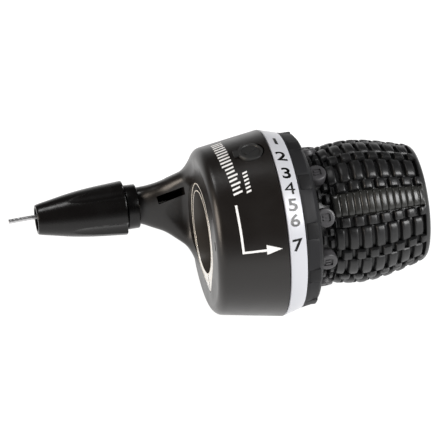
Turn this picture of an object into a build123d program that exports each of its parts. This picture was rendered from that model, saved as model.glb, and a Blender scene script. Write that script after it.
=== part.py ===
from build123d import *
import math
import os

# Twist-grip gear shifter for a right-hand handlebar end, in millimetres.
# The handlebar runs along X. The origin is on its axis at the clamp's inboard face.
# +X points outboard along the grip, +Y forwards, away from the rider, and +Z up.
# Angles round the handlebar go from +Y towards +Z.

# --- driving dimensions: handlebar, clamp and base tube ---
BAR_R = 11.2  # bore for a 22.2 mm handlebar
CLAMP_R = 13.5
CLAMP_LENGTH = 9.2
LUG_ANGLE = 229.6  # the clamp's lug hangs below and behind the bar
NOSE_AT = 13.8  # the teardrop nose seen in the housing's face
NOSE_R = 2.4
LUG_START = 2.1
LUG_HALF = 4.2
LUG_TOP = 19.6
BOLT_AT = 16.4
BOLT_X = 5.7
BOLT_R = 2.0
HEAD_R = 3.4
HEAD_LENGTH = 3.5
NUT_SIDE = 7.0
NUT_THICK = 3.2
SPLIT = 0.6
TUBE_BORE = 11.45
TUBE_R = 12.4
TUBE_START = 9.5
TUBE_FLANGE_R = 20.4
TUBE_FLANGE = 2.0

# --- driving dimensions: housing ---
MOUTH_X = 18.4
MOUTH_R = 25.5
CONE_START_X = 2.0
CONE_START_R = 22.8
SHOULDER = 2.2
WALL = 2.0
ARM_ANGLE = -11.0  # the cable arm leaves the face in front of the bar
ARM_RADIUS = 19.75
NECK_END = -14.1
NECK_R = 5.07
SCOOP_R = 14.3  # hollow that keeps the arm clear of the handlebar
SPIGOT_END = -28.6
SPIGOT_R = 3.5
SPIGOT_BORE = 2.5
KEY_FLAT = 2.0  # flat that stops the adjuster seat from turning
PORT_ANGLE = 87.6
PORT_X = 13.5
PORT_R = 3.2
SCREW_ANGLES = (75, 180, 290)
SCREW_AT = 18.4

# --- driving dimensions: drum, dial ring and grip ---
GRIP_END = 59.9
DRUM_START = 12.3
DRUM_END = 57.9
DRUM_BORE = 12.48
SLEEVE_R = 14.5
SPOOL_X = 14.7
SPOOL_R = 14.0  # radius of the wound cable's centre
WIRE_R = 0.6
SPOOL_FLANGE_R = 14.8
DETENT_R = 18.4
CLICK_ANGLES = (0, 15, 25.5, 36.5, 47, 60.5, 77)
NOSE_ANGLE = 230.0
RING_START = 18.7
RING_END = 23.6
RING_BORE = 22.62
FLANGE_END = 28.0
KEYS = 11
KEY_PHASE = 148.7
STUDS = 9
STUD_PHASE = 141.9
STUD_X = 30.8
STUD_R = 2.3
STUD_TOP = 19.0

# --- driving dimensions: cable and adjuster ---
BEND_R = 6.0
GUIDE_INNER_R = 3.2
GUIDE_OUTER_R = 6.4
GUIDE_HALF = 1.1
RUN_INNER_END = -3.0
RUN_OUTER_END = -49.7
HEAD_CYL_R = 2.2
HEAD_AT = 15.2
COLLAR_R = 6.1
COLLAR_START = -17.4
KNOB_BASE = -17.7
KNOB_TIP = -42.1
KNOB_BASE_R = 7.5
KNOB_TIP_R = 4.05
FLUTES = 4
FLUTE_PHASE = 12.6
FLUTE_R = 4.0
SEAT_START = -35.9
SEAT_BACK = -29.2
SEAT_R = 3.82
SOCKET_R = 3.05
SOCKET_DEPTH = 5.0
SHANK_R = 2.42

os.makedirs("parts", exist_ok=True)


def radial(angle, distance=1.0, x=0.0):
    """The point at a distance from the handlebar's axis, at an angle round it."""
    turn = math.radians(angle)
    return Vector(x, distance * math.cos(turn), distance * math.sin(turn))


ARM = radial(ARM_ANGLE, ARM_RADIUS)


def turned(points, rounds=None, at=(0, 0)):
    """A solid of revolution about a line along X from (x, radius) corners, some of them rounded."""
    radii = [0.0] * len(points)
    for corner, size in (rounds or {}).items():
        radii[corner] = size
    outline = FilletPolyline(*points, radius=radii, close=True)
    return Pos(0, *at) * revolve(make_face(outline), Axis.X, 360)


def tube(x0, x1, outer, inner, at=(0, 0)):
    """A plain ring or tube along X."""
    return turned([(x0, inner), (x1, inner), (x1, outer), (x0, outer)], at=at)


def rod(x0, x1, radius, at=(0, 0)):
    """A plain rod along X."""
    return turned([(x0, 0), (x1, 0), (x1, radius), (x0, radius)], at=at)


def outward(angle, x, start, end, radius):
    """A rod square to the handlebar, from one distance from its axis to another."""
    plane = Plane(origin=radial(angle, start, x), x_dir=(1, 0, 0), z_dir=radial(angle))
    return extrude(plane * Circle(radius), end - start)


def sector(x0, x1, inner, outer, middle, half_angle):
    """A block between two radii and two angles, whose sides point at the axis."""
    reach = outer / math.cos(math.radians(half_angle))
    low, high = math.radians(middle - half_angle), math.radians(middle + half_angle)
    wedge = Polyline(
        (0, 0),
        (reach * math.cos(low), reach * math.sin(low)),
        (reach * math.cos(high), reach * math.sin(high)),
        close=True,
    )
    plane = Plane(origin=(x0, 0, 0), x_dir=(0, 1, 0), z_dir=(1, 0, 0))
    return tube(x0, x1, outer, inner) & extrude(plane * make_face(wedge), x1 - x0)


def lug_box(x0, x1, near, far, half):
    """A box in the clamp lug's own directions: out along the lug, and half to each side of it."""
    plane = Plane(origin=(x0, 0, 0), x_dir=radial(LUG_ANGLE), z_dir=(1, 0, 0))
    return extrude(plane * Pos((near + far) / 2, 0) * Rectangle(far - near, 2 * half), x1 - x0)


def teardrop(x0, x1, ring_r, nose_r):
    """The clamp's outline: a circle round the bar and a nose, joined by their common tangents."""
    plane = Plane(origin=(x0, 0, 0), x_dir=radial(LUG_ANGLE), z_dir=(1, 0, 0))
    cosine = (ring_r - nose_r) / NOSE_AT
    sine = math.sqrt(1 - cosine * cosine)
    body = make_face(
        Polyline(
            (ring_r * cosine, ring_r * sine),
            (NOSE_AT + nose_r * cosine, nose_r * sine),
            (NOSE_AT + nose_r * cosine, -nose_r * sine),
            (ring_r * cosine, -ring_r * sine),
            close=True,
        )
    )
    outline = Circle(ring_r) + Pos(NOSE_AT, 0) * Circle(nose_r) + body
    return extrude(plane * outline, x1 - x0)


def tangential(x, distance, angle, start, end, shape):
    """An extrusion square to the direction at an angle, from one side of that direction to the other."""
    origin = radial(angle, distance, x) + radial(angle - 90, start)
    plane = Plane(origin=origin, x_dir=(1, 0, 0), z_dir=radial(angle - 90))
    return extrude(plane * shape, end - start)


# --- clamp ---
def make_clamp_band():
    """Split ring with a flush teardrop front and a thicker lug behind the housing's face."""
    band = teardrop(0, LUG_START, CLAMP_R, NOSE_R) + rod(LUG_START, CLAMP_LENGTH, CLAMP_R)
    band += lug_box(LUG_START, CLAMP_LENGTH, 11.6, LUG_TOP, LUG_HALF)
    band -= rod(-1, CLAMP_LENGTH + 1, BAR_R)
    band -= lug_box(-1, CLAMP_LENGTH + 1, 5, LUG_TOP + 2, SPLIT / 2)
    band -= tangential(BOLT_X, BOLT_AT, LUG_ANGLE, -9, 9, Circle(BOLT_R + 0.1))
    return band


def make_clamp_bolt():
    """M4 socket head bolt across the lug, its head at the lower front."""
    head_end = -LUG_HALF - HEAD_LENGTH
    bolt = tangential(BOLT_X, BOLT_AT, LUG_ANGLE, -LUG_HALF, LUG_HALF + NUT_THICK, Circle(BOLT_R))
    bolt += tangential(BOLT_X, BOLT_AT, LUG_ANGLE, head_end, -LUG_HALF, Circle(HEAD_R))
    bolt -= tangential(BOLT_X, BOLT_AT, LUG_ANGLE, head_end - 1, head_end + 2.1, RegularPolygon(1.75, 6))
    return bolt


def make_clamp_nut():
    """Square nut that sits against the lug's upper side."""
    nut = Rectangle(NUT_SIDE, NUT_SIDE) - Circle(BOLT_R + 0.02)
    return tangential(BOLT_X, BOLT_AT, LUG_ANGLE, LUG_HALF, LUG_HALF + NUT_THICK, nut)


# --- housing ---
# Round sections of the arm as it grows out of the face: x, how far the section's centre has come
# from the arm's line towards the bar's, and its radius.
ARM_SECTIONS = (
    (NECK_END, 0.0, NECK_R),
    (-10.3, 0.1, 6.3),
    (-7.2, 0.18, 7.7),
    (-4.2, 0.30, 9.9),
    (0.0, 0.50, 13.1),
    (7.0, 0.62, 15.6),
)


def arm_body(shrink, first):
    """The arm's swelling, or with some shrink its inside, as one loft through round sections."""
    rings = []
    for x, share, radius in ARM_SECTIONS[first:]:
        centre = ARM * (1 - share)
        plane = Plane(origin=(x, centre.Y, centre.Z), x_dir=(0, 1, 0), z_dir=(1, 0, 0))
        rings.append(plane * Circle(radius - shrink))
    return loft(Sketch() + rings)


def make_housing_shell():
    """Tapered drum-shaped shell with a flat inboard face, the cable arm and the adjuster's spigot."""
    shell = turned(
        [(0, 0), (0, CONE_START_R), (CONE_START_X, CONE_START_R), (MOUTH_X, MOUTH_R), (MOUTH_X, 0)],
        rounds={1: SHOULDER * 0.9},
    )
    shell += arm_body(0, 0)
    shell -= rod(-20, 0, SCOOP_R)
    inside = turned(
        [
            (WALL, 0),
            (WALL, CONE_START_R - WALL),
            (MOUTH_X + 1, MOUTH_R - WALL),
            (MOUTH_X + 1, 0),
        ]
    )
    hub = tube(0, TUBE_START, CLAMP_R + 1.7, 5)
    inside -= hub
    shell -= inside
    shell -= arm_body(WALL, 1) - rod(-20, WALL, SCOOP_R + WALL) - hub
    # opening for the clamp, with room behind the face for its lug
    shell -= teardrop(-1, WALL + 0.2, CLAMP_R + 0.15, NOSE_R + 0.15)
    shell -= rod(-1, TUBE_START + 1, CLAMP_R + 0.15)
    shell -= lug_box(WALL, TUBE_START, 5, LUG_TOP + 0.4, 8.6)
    shell -= tangential(BOLT_X, BOLT_AT, LUG_ANGLE, -40, -6, Circle(HEAD_R + 0.35))
    # spigot for the adjuster, with a keyed bore and a groove for the clip
    shell += rod(SPIGOT_END, NECK_END, SPIGOT_R, at=(ARM.Y, ARM.Z))
    bore = rod(SPIGOT_END - 1, -9.5, SPIGOT_BORE, at=(ARM.Y, ARM.Z))
    shell -= bore & Pos(0, ARM.Y, ARM.Z + KEY_FLAT + 0.08 - 10) * Box(80, 20, 20)
    shell -= tube(-28.1, -27.4, 6, 3.1, at=(ARM.Y, ARM.Z))
    # slot on the arm's upper rear side
    side = Plane(origin=radial(LUG_ANGLE - 90, -16.5, -5.2), x_dir=(1, 0, 0), z_dir=radial(LUG_ANGLE - 90))
    shell -= extrude(side * Pos(0, 11.1) * Rectangle(6.8, 2.2), 16.5)
    # port for changing the cable
    shell -= outward(PORT_ANGLE, PORT_X, 18, 30, PORT_R)
    shell -= outward(PORT_ANGLE, PORT_X, 24.0, 30, PORT_R + 0.55)
    for angle in SCREW_ANGLES:
        place = radial(angle, SCREW_AT)
        shell += rod(1, TUBE_START, 2.5, at=(place.Y, place.Z))
        shell -= rod(2.5, TUBE_START + 1, 1.27, at=(place.Y, place.Z))
    return shell


def make_port_plug():
    """Round plug with a thin cap in a spot face and a small tab to lift it by."""
    plug = outward(PORT_ANGLE, PORT_X, 21.9, 24.5, PORT_R - 0.1)
    cap = outward(PORT_ANGLE, PORT_X, 24.02, 25.2, PORT_R + 0.4)
    cap = fillet(cap.edges().filter_by(GeomType.CIRCLE).sort_by(Axis.Z)[-1], 0.35)
    return plug + cap


# --- base tube and what is fixed to it ---
def make_base_tube():
    """Plain bearing tube round the handlebar, with a flange that the housing is screwed to."""
    body = turned(
        [
            (TUBE_START, TUBE_BORE),
            (GRIP_END, TUBE_BORE),
            (GRIP_END, TUBE_R),
            (TUBE_START + TUBE_FLANGE, TUBE_R),
            (TUBE_START + TUBE_FLANGE, TUBE_FLANGE_R),
            (TUBE_START, TUBE_FLANGE_R),
        ]
    )
    for angle in SCREW_ANGLES:
        place = radial(angle, SCREW_AT)
        body -= rod(TUBE_START - 1, TUBE_START + 3, 1.4, at=(place.Y, place.Z))
    # slot for the cable guide
    body -= bend_box(TUBE_START - 1, TUBE_START + 3, -1.0, BEND_R + 8, GUIDE_HALF + 0.1)
    return body


def make_screws():
    """Three pan head screws from the drum side into the housing's bosses."""
    screws = []
    seat = TUBE_START + TUBE_FLANGE
    for angle in SCREW_ANGLES:
        place = radial(angle, SCREW_AT)
        screw = turned(
            [(3.2, 0), (3.2, 0.7), (4.2, 1.25), (seat, 1.25), (seat, 1.95), (seat + 0.6, 1.95), (seat + 0.6, 0)],
            at=(place.Y, place.Z),
        )
        screws.append(screw - Pos(seat + 0.6, place.Y, place.Z) * Box(0.6, 2.4, 0.5))
    return Compound(screws)


def make_thrust_washer():
    """Steel washer between the tube's flange and the drum."""
    return tube(TUBE_START + TUBE_FLANGE + 0.02, DRUM_START - 0.18, 14.7, 12.5)


def make_end_retainer():
    """Ring pressed on the tube's outboard end, which keeps the drum on."""
    return turned(
        [(58.2, TUBE_R + 0.02), (59.7, TUBE_R + 0.02), (59.7, 13.9), (58.2, 13.9)],
        rounds={2: 0.5},
    )


def make_index_spring():
    """Leaf spring round the detent ring, bent to a nose that sits in one notch."""
    leaf = sector(15.7, 16.9, 19.9, 20.4, NOSE_ANGLE, 24)
    nose_at = radial(NOSE_ANGLE, DETENT_R + 0.55)
    nose = rod(15.7, 16.9, 0.85, at=(nose_at.Y, nose_at.Z))
    rib = sector(15.7, 16.9, DETENT_R + 0.7, 20.1, NOSE_ANGLE, 1.6)
    feet = [sector(15.7, 16.9, 20.2, 22.9, NOSE_ANGLE + turn, 1.2) for turn in (-23, 23)]
    return leaf + nose + rib + feet


# --- drum, dial ring and rubber ---
def make_shift_drum():
    """Spool, detent ring, flange and grip sleeve in one moulding that turns on the base tube."""
    drum = turned(
        [
            (DRUM_START, DRUM_BORE),
            (DRUM_START, SPOOL_FLANGE_R),
            (SPOOL_X - 1.0, SPOOL_FLANGE_R),
            (SPOOL_X - 0.8, SPOOL_R - WIRE_R - 0.05),
            (SPOOL_X + 0.8, SPOOL_R - WIRE_R - 0.05),
            (SPOOL_X + 1.0, DETENT_R),
            (17.1, DETENT_R),
            (17.1, 15.6),
            (26.4, 15.6),
            (26.4, 21.3),
            (17.3, 21.3),
            (17.3, RING_BORE - 0.12),
            (RING_START, RING_BORE - 0.12),
            (RING_START, RING_BORE - 0.02),
            (RING_END, RING_BORE - 0.02),
            (RING_END, 24.0),
            (27.2, 23.35),
            (FLANGE_END, 22.4),
            (FLANGE_END, SLEEVE_R),
            (DRUM_END, SLEEVE_R),
            (DRUM_END, DRUM_BORE),
        ]
    )
    for click in CLICK_ANGLES:
        notch = radial(NOSE_ANGLE - click, DETENT_R + 0.55)
        drum -= rod(SPOOL_X + 1.0, 17.2, 1.0, at=(notch.Y, notch.Z))
    for key in range(KEYS):
        drum -= sector(24.1, 27.4, RING_BORE, 26, KEY_PHASE + key * 360 / KEYS, 5.35)
    # boss round the cable's head, slit for the wire
    boss = sector(DRUM_START, SPOOL_X + 1.1, 14.0, 17.8, PORT_ANGLE, 13)
    drum += boss - tube(SPOOL_X - 0.8, SPOOL_X + 0.8, 19, SPOOL_R - WIRE_R - 0.05)
    # pocket for the cable's head, open towards the port, and the way in for the wire
    across = Plane(origin=(0, 0, 0), x_dir=(1, 0, 0), z_dir=radial(PORT_ANGLE))
    pocket = across * Pos((DRUM_START - 1 + 16.95) / 2, 0) * Rectangle(16.95 - DRUM_START + 1, 4.7)
    drum -= extrude(pocket, 19) - rod(0, 40, HEAD_AT - HEAD_CYL_R - 0.05)
    # ribs that key the rubber
    for rib in range(6):
        drum += sector(30, 55, SLEEVE_R - 0.2, SLEEVE_R + 0.8, 20 + rib * 60, 5)
    return drum


def make_indicator_ring():
    """White dial ring, slightly tapered, that carries the gear numbers."""
    return turned(
        [
            (RING_START, RING_BORE),
            (RING_END - 0.02, RING_BORE),
            (RING_END - 0.02, 24.05),
            (RING_START, 25.45),
        ],
        rounds={2: 0.2, 3: 0.3},
    )


def make_grip_keys():
    """Eleven blocks of grip rubber moulded into the drum's flange."""
    keys = []
    for key in range(KEYS):
        block = sector(24.15, 27.35, RING_BORE + 0.05, 23.75, KEY_PHASE + key * 360 / KEYS, 5.25)
        keys.append(block)
    return Compound(keys)


def make_rubber_grip():
    """Tapered rubber sleeve with a groove near the flange where nine round studs stand."""
    grip = turned(
        [
            (FLANGE_END + 0.02, SLEEVE_R + 0.02),
            (DRUM_END + 0.1, SLEEVE_R + 0.02),
            (DRUM_END + 0.1, 14.25),
            (GRIP_END, 14.25),
            (GRIP_END, 15.0),
            (59.0, 16.0),
            (56.0, 16.9),
            (51.3, 18.2),
            (43.5, 19.5),
            (38.5, 19.3),
            (33.2, 18.4),
            (33.0, 17.2),
            (29.4, 17.2),
            (29.0, 19.6),
            (FLANGE_END + 0.02, 20.9),
        ]
    )
    for rib in range(6):
        grip -= sector(29.9, 55.1, SLEEVE_R - 1, SLEEVE_R + 0.85, 20 + rib * 60, 5.1)
    for stud in range(STUDS):
        grip += outward(STUD_PHASE + stud * 360 / STUDS, STUD_X, 16.5, STUD_TOP, STUD_R)
    return grip


# --- cable ---
# The wire leaves the spool along a tangent that meets the arm's line, then bends towards the knob.
LEAVE_ANGLE = ARM_ANGLE + math.degrees(math.acos(SPOOL_R / ARM_RADIUS))
LEAVE = radial(LEAVE_ANGLE, SPOOL_R, SPOOL_X)
ALONG = radial(LEAVE_ANGLE - 90)
CORNER = Vector(SPOOL_X, ARM.Y, ARM.Z)
BEND_CENTRE = CORNER - ALONG * BEND_R - Vector(BEND_R, 0, 0)


def bend_box(x0, x1, near, far, half):
    """A box along the wire's run from the spool to the arm, measured from the elbow's centre."""
    plane = Plane(origin=(x0, BEND_CENTRE.Y, BEND_CENTRE.Z), x_dir=ALONG, z_dir=(1, 0, 0))
    return extrude(plane * Pos((near + far) / 2, 0) * Rectangle(far - near, 2 * half), x1 - x0)


def make_cable_guide():
    """Quarter-round shoe with a groove, which turns the wire from the spool to the arm."""
    groove = BEND_R - WIRE_R - 0.1
    outline = Polyline(
        (GUIDE_INNER_R, -GUIDE_HALF),
        (GUIDE_OUTER_R, -GUIDE_HALF),
        (GUIDE_OUTER_R, -0.72),
        (groove, -0.72),
        (groove, 0.72),
        (GUIDE_OUTER_R, 0.72),
        (GUIDE_OUTER_R, GUIDE_HALF),
        (GUIDE_INNER_R, GUIDE_HALF),
        close=True,
    )
    across = ALONG.cross(Vector(1, 0, 0))
    start = Plane(origin=BEND_CENTRE, x_dir=ALONG, z_dir=ALONG.cross(across))
    axis = Axis(BEND_CENTRE, across)
    return revolve(start * make_face(outline), axis, 90)


def make_cable_bend():
    """The wire from the spool's tangent, round the elbow and into the arm."""
    section = Circle(WIRE_R)
    straight = (CORNER - ALONG * BEND_R - LEAVE).length
    across = ALONG.cross(Vector(1, 0, 0))
    wire = extrude(Plane(origin=LEAVE, z_dir=ALONG) * section, straight)
    elbow = Plane(origin=CORNER - Vector(BEND_R, 0, 0), z_dir=(1, 0, 0)) * section
    wire += revolve(elbow, Axis(BEND_CENTRE, across), 90)
    return wire + rod(RUN_INNER_END, SPOOL_X - BEND_R, WIRE_R, at=(ARM.Y, ARM.Z))


def make_cable_run():
    """The wire through the arm and the adjuster, with a bare end outside it."""
    return rod(RUN_OUTER_END, RUN_INNER_END, WIRE_R, at=(ARM.Y, ARM.Z))


def make_cable_wrap():
    """The wire that lies on the spool, from its tangent point to the head."""
    end = PORT_ANGLE - 9.2
    plane = Plane(origin=LEAVE, z_dir=ALONG)
    return revolve(plane * Circle(WIRE_R), Axis.X, end - LEAVE_ANGLE)


def make_cable_head():
    """Barrel end of the wire in the drum's pocket."""
    return tangential(SPOOL_X, HEAD_AT, PORT_ANGLE, -2.2, 2.2, Circle(HEAD_CYL_R))


# --- adjuster ---
def make_adjuster_knob():
    """Tapered hollow knob with finger flutes that deepen towards its base."""
    length = KNOB_BASE - KNOB_TIP
    outline = [
        (KNOB_TIP, 3.2),
        (-38.9, 3.2),
        (-38.9, 3.9),
        (-27.25, 3.9),
        (-27.25, 3.6),
        (-25.0, 3.6),
        (-25.0, 5.4),
        (KNOB_BASE, 5.4),
        (KNOB_BASE, KNOB_BASE_R),
    ]
    for step in (0.2, 0.4, 0.6, 0.8, 1.0):
        # the side swells quickly behind the tip and then flattens
        radius = KNOB_TIP_R + (KNOB_BASE_R - KNOB_TIP_R) * (1 - step) ** 0.72
        outline.append((KNOB_BASE - length * step, radius))
    knob = turned(outline, at=(ARM.Y, ARM.Z))
    for flute in range(FLUTES):
        side = Pos(0, ARM.Y, ARM.Z) * Rot(FLUTE_PHASE + flute * 360 / FLUTES, 0, 0)
        cutter = side * Pos(KNOB_BASE - 7, 0, 10.22) * Rot(0, 87.7, 0) * Cylinder(FLUTE_R, 24)
        knob -= cutter
    return knob


def make_adjuster_seat():
    """Threaded sleeve that takes the cable casing, with a keyed shank inside the spigot."""
    seat = turned(
        [
            (SEAT_START, SOCKET_R),
            (SEAT_START + SOCKET_DEPTH, SOCKET_R),
            (SEAT_START + SOCKET_DEPTH, 0.9),
            (-20.0, 0.9),
            (-20.0, SHANK_R),
            (SEAT_BACK, SHANK_R),
            (SEAT_BACK, SEAT_R),
            (SEAT_START, SEAT_R),
        ],
        rounds={7: 0.2},
        at=(ARM.Y, ARM.Z),
    )
    return seat - Pos(SEAT_BACK + 10, ARM.Y, ARM.Z + KEY_FLAT + 2) * Box(20, 10, 4)


def make_adjuster_collar():
    """Ring between the arm's neck and the knob that the knob clicks round."""
    return turned(
        [(COLLAR_START, SPIGOT_R + 0.02), (NECK_END - 0.02, SPIGOT_R + 0.02), (NECK_END - 0.02, COLLAR_R),
         (COLLAR_START, COLLAR_R)],
        rounds={2: 0.4, 3: 0.3},
        at=(ARM.Y, ARM.Z),
    )


def make_adjuster_spring():
    """Coil round the spigot that presses the knob away from the collar."""
    coil = Helix(pitch=1.6, height=6.4, radius=4.5)
    section = Plane(origin=coil @ 0, z_dir=coil % 0) * Circle(0.32)
    spring = sweep(section, path=coil, is_frenet=True)
    return Pos(-24.5, ARM.Y, ARM.Z) * Rot(0, 90, 0) * spring


def make_knob_clip():
    """Split ring in the spigot's groove that keeps the knob on."""
    clip = tube(-28.05, -27.45, 3.75, 3.12, at=(ARM.Y, ARM.Z))
    return clip - Pos(-27.7, ARM.Y - 3.4, ARM.Z) * Box(3, 3, 1.2)


NODES = {
    "housing_shell": make_housing_shell,
    "base_tube": make_base_tube,
    "clamp_band": make_clamp_band,
    "clamp_bolt": make_clamp_bolt,
    "clamp_nut": make_clamp_nut,
    "housing_screws": make_screws,
    "thrust_washer": make_thrust_washer,
    "index_spring": make_index_spring,
    "end_retainer": make_end_retainer,
    "cable_guide": make_cable_guide,
    "cable_bend": make_cable_bend,
    "adjuster_collar": make_adjuster_collar,
    "adjuster_spring": make_adjuster_spring,
    "knob_clip": make_knob_clip,
    "shift_drum": make_shift_drum,
    "indicator_ring": make_indicator_ring,
    "grip_keys": make_grip_keys,
    "rubber_grip": make_rubber_grip,
    "cable_anchor_head": make_cable_head,
    "cable_wrap": make_cable_wrap,
    "cable_run": make_cable_run,
    "adjuster_knob": make_adjuster_knob,
    "adjuster_seat": make_adjuster_seat,
    "cable_port_plug": make_port_plug,
}

for name, make in NODES.items():
    export_step(make(), f"parts/{name}.step")
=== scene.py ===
"""Twist-grip gear shifter: the visible pieces, their finishes and the studio, built round the CAD frame.

The handlebar's axis is the X axis, +X outboard along the grip. An angle round the handlebar is measured
from +Y towards +Z. "Gear angle" is counted from the rider's side, where the dial is read, and grows
downwards. Sizes inside the classes are millimetres, and a mesh is scaled to metres as it is made.
"""

from __future__ import annotations

import logging
import math
from dataclasses import dataclass, field
from enum import Enum

import bpy
import numpy as np
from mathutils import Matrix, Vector

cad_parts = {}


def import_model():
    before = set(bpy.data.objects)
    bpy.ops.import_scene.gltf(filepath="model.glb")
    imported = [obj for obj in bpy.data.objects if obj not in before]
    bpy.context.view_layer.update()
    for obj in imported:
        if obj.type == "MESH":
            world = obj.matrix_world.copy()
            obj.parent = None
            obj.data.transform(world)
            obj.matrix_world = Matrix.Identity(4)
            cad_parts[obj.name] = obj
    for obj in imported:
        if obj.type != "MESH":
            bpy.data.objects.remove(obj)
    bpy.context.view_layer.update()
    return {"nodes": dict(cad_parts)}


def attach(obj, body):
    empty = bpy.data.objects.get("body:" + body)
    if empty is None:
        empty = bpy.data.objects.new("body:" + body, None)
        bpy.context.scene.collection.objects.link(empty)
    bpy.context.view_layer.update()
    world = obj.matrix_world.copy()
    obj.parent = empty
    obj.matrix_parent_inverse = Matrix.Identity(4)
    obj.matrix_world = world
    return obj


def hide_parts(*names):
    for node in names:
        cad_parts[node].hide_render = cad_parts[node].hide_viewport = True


LOG = logging.getLogger("shifter")
MM = 0.001
DIAL_SIDE = 139.6  # the angle round the handlebar from which the dial is read
ARM_ANGLE = -11.0
ARM_RADIUS = 19.75
Array = np.ndarray


class Body(Enum):
    """The moving bodies of the frame that a piece can ride on."""

    HOUSING = "housing"
    GRIP = "twist_grip"
    CABLE = "cable"
    KNOB = "adjuster_knob"
    SEAT = "adjuster_seat"
    PLUG = "port_plug"


# ---------------------------------------------------------------------------------------------- maths
def smoothstep(low: float, high: float, value: Array) -> Array:
    """Ease from 0 at low to 1 at high.

    Args:
        low: where the ease starts.
        high: where it ends.
        value: the values to ease.

    Returns:
        3t^2 - 2t^3 of each value's share t of the way, held at 0 and 1 outside it.
    """
    share = np.clip((value - low) / (high - low), 0.0, 1.0)
    return share * share * (3.0 - 2.0 * share)


def round_union(first: Array, second: Array, radius: Array | float) -> Array:
    """Distance field of two shapes joined by a hollow fillet: r - |(r-a, r-b)| where both are near."""
    near = np.hypot(np.maximum(radius - first, 0.0), np.maximum(radius - second, 0.0))
    return np.maximum(radius, np.minimum(first, second)) - near


def round_overlap(first: Array, second: Array, radius: Array | float) -> Array:
    """Distance field of what two shapes share, its edge rounded: |(r+a, r+b)| - r near that edge."""
    near = np.hypot(np.maximum(radius + first, 0.0), np.maximum(radius + second, 0.0))
    return np.minimum(-radius, np.maximum(first, second)) + near


def around(x: Array, angle_deg: Array, radius: Array) -> Array:
    """Points at an angle round the handlebar's axis.

    Args:
        x: places along the handlebar.
        angle_deg: angles from +Y towards +Z.
        radius: distances from the axis.

    Returns:
        The points, in an array whose last axis holds x, y and z.
    """
    turn = np.radians(angle_deg)
    x, turn, radius = np.broadcast_arrays(x, turn, radius)
    return np.stack([x, radius * np.cos(turn), radius * np.sin(turn)], axis=-1)


ARM = around(np.array(0.0), np.array(ARM_ANGLE), np.array(ARM_RADIUS))


def rounded_path(corners: list[tuple[float, float, float]], steps: int = 5) -> Array:
    """A closed outline whose corners are round.

    Args:
        corners: each corner's two places and its radius, 0 for a sharp one.
        steps: how many short runs stand for each arc.

    Returns:
        The outline's points: each arc is the circle that both sides of its corner touch.
    """
    points = []
    count = len(corners)
    for index, (a, b, radius) in enumerate(corners):
        here = np.array([a, b])
        before = np.array(corners[index - 1][:2]) - here
        after = np.array(corners[(index + 1) % count][:2]) - here
        if radius <= 0:
            points.append(here)
            continue
        before = before / np.linalg.norm(before)
        after = after / np.linalg.norm(after)
        half = math.acos(float(np.clip(before @ after, -1, 1))) / 2
        reach = radius / math.tan(half)
        centre = here + (before + after) / np.linalg.norm(before + after) * radius / math.sin(half)
        start, end = here + before * reach - centre, here + after * reach - centre
        for step in range(steps + 1):
            # turning evenly between the two touching points
            sweep = (math.pi - 2 * half) * step / steps
            span = math.pi - 2 * half
            mix = (start * math.sin(span - sweep) + end * math.sin(sweep)) / math.sin(span)
            points.append(centre + mix)
    return np.array(points)


# ------------------------------------------------------------------------------------------- mesh work
def grid_faces(rows: int, cols: int, wrap_rows: bool, wrap_cols: bool) -> Array:
    """Quads between the points of a grid, as indices, joined at the ends where it wraps."""
    r = np.arange(rows if wrap_rows else rows - 1)
    c = np.arange(cols if wrap_cols else cols - 1)
    r, c = np.meshgrid(r, c, indexing="ij")
    r2, c2 = (r + 1) % rows, (c + 1) % cols
    quads = np.stack([r * cols + c, r * cols + c2, r2 * cols + c2, r2 * cols + c], axis=-1)
    return quads.reshape(-1, 4)


def add_object(name: str, points: Array, faces: list | Array, smooth: bool = True) -> bpy.types.Object:
    """Put points, in millimetres, and faces into a new object at the origin.

    Args:
        name: the object's name.
        points: an array of points.
        faces: lists of point indices.
        smooth: whether the faces are shaded as one smooth surface.

    Returns:
        The object, linked into the scene.
    """
    mesh = bpy.data.meshes.new(name)
    faces = faces.tolist() if isinstance(faces, np.ndarray) else faces
    mesh.from_pydata((points.reshape(-1, 3) * MM).tolist(), [], faces)
    mesh.validate()
    mesh.polygons.foreach_set("use_smooth", np.full(len(mesh.polygons), smooth))
    thing = bpy.data.objects.new(name, mesh)
    bpy.context.scene.collection.objects.link(thing)
    return thing


def merge_and_orient(thing: bpy.types.Object, distance: float = 0.002) -> None:
    """Merge points that coincide and turn every face outwards.

    Args:
        thing: the object.
        distance: the most, in millimetres, that merged points may be apart.
    """
    import bmesh

    work = bmesh.new()
    work.from_mesh(thing.data)
    bmesh.ops.remove_doubles(work, verts=work.verts, dist=distance * MM)
    bmesh.ops.recalc_face_normals(work, faces=work.faces)
    work.to_mesh(thing.data)
    work.free()


def lathe(name: str, outline: Array, segments: int = 160, centre: Array | None = None) -> bpy.types.Object:
    """A ring: a closed outline of x and radius, turned round a line along X.

    Args:
        name: the object's name.
        outline: the outline's points.
        segments: how many steps the turn takes.
        centre: a point of that line, or None for the handlebar's axis.

    Returns:
        The closed ring, whose faces point outwards.
    """
    angles = np.arange(segments) * 360.0 / segments
    points = around(outline[None, :, 0], angles[:, None], outline[None, :, 1])
    if centre is not None:
        points = points + np.array([0.0, centre[1], centre[2]])
    thing = add_object(name, points, grid_faces(segments, len(outline), True, True))
    merge_and_orient(thing)
    return thing


def sharpen(thing: bpy.types.Object, degrees: float = 35.0) -> None:
    """Shade edges sharper than an angle as edges."""
    mesh = thing.data
    mesh.shade_flat()
    bpy.context.view_layer.objects.active = thing
    thing.select_set(True)
    bpy.ops.object.shade_smooth_by_angle(angle=math.radians(degrees))
    thing.select_set(False)


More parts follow.
